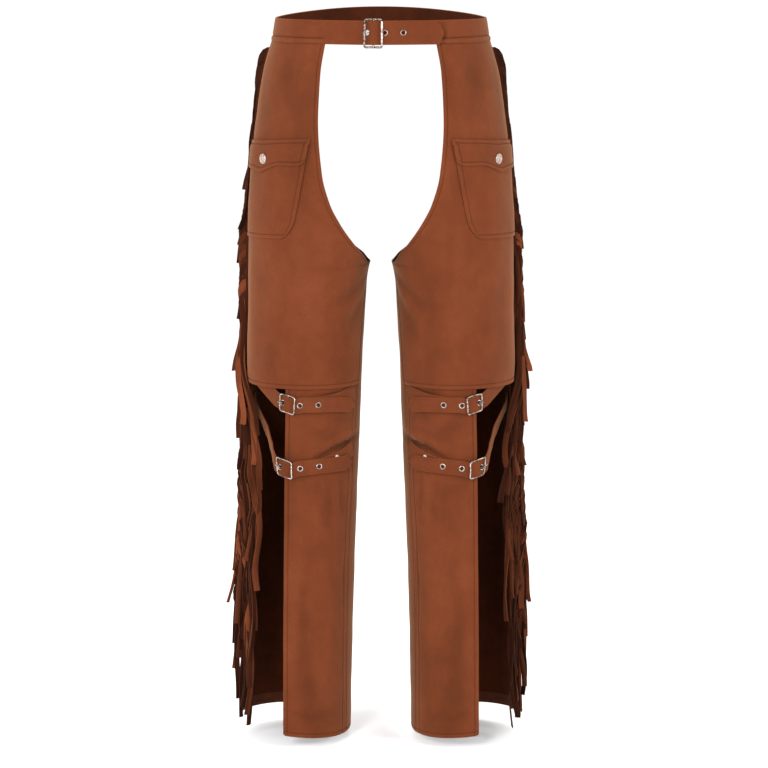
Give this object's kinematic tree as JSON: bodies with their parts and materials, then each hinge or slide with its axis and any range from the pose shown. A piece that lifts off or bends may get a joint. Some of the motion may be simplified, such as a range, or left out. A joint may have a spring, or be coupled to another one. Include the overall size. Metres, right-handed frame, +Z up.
{
  "type": "leather chaps",
  "caption": "Suede leather chaps with a buckled waistband, flap pockets, knee straps and side fringe, hollow and filled out as if worn.",
  "frame": {"origin": "centre of the waist opening, halfway up the waistband, where a wearer holds the part up", "axes": "+Z up the body, -Y to the wearer's front, +X to the wearer's left"},
  "size_m": [0.4014, 0.2116, 0.9709],
  "materials": {
    "suede": "brushed brown suede with a fine nap",
    "fringe_suede": "darker cut suede strands",
    "nickel": "worn polished nickel",
    "snap_metal": "matte, slightly coppery silver"
  },
  "bodies": {
    "root": {"back_leg_l": "suede", "back_leg_r": "suede", "eyelet_lower_l_1": "nickel", "eyelet_lower_l_2": "nickel", "eyelet_lower_l_3": "nickel", "eyelet_lower_r_1": "nickel", "eyelet_lower_r_2": "nickel", "eyelet_lower_r_3": "nickel", "eyelet_upper_l_1": "nickel", "eyelet_upper_l_2": "nickel", "eyelet_upper_l_3": "nickel", "eyelet_upper_r_1": "nickel", "eyelet_upper_r_2": "nickel", "eyelet_upper_r_3": "nickel", "fringe_l": "fringe_suede", "fringe_r": "fringe_suede", "knee_buckle_lower_l": "nickel", "knee_buckle_lower_r": "nickel", "knee_buckle_upper_l": "nickel", "knee_buckle_upper_r": "nickel", "knee_prong_lower_l": "nickel", "knee_prong_lower_r": "nickel", "knee_prong_upper_l": "nickel", "knee_prong_upper_r": "nickel", "knee_strap_lower_l": "suede", "knee_strap_lower_r": "suede", "knee_strap_upper_l": "suede", "knee_strap_upper_r": "suede", "knee_tab_lower_l": "suede", "knee_tab_lower_r": "suede", "knee_tab_upper_l": "suede", "knee_tab_upper_r": "suede", "pocket_flap_l": "suede", "pocket_flap_r": "suede", "pocket_l": "suede", "pocket_r": "suede", "shin_front_l": "suede", "shin_front_r": "suede", "snap_l": "snap_metal", "snap_r": "snap_metal", "strap_rivet_l": "snap_metal", "strap_rivet_r": "snap_metal", "thigh_front_l": "suede", "thigh_front_r": "suede", "waist_buckle": "nickel", "waist_eyelet_1": "nickel", "waist_eyelet_2": "nickel", "waist_eyelet_3": "nickel", "waist_prong": "nickel", "waistband": "suede"}
  },
  "joints": []
}
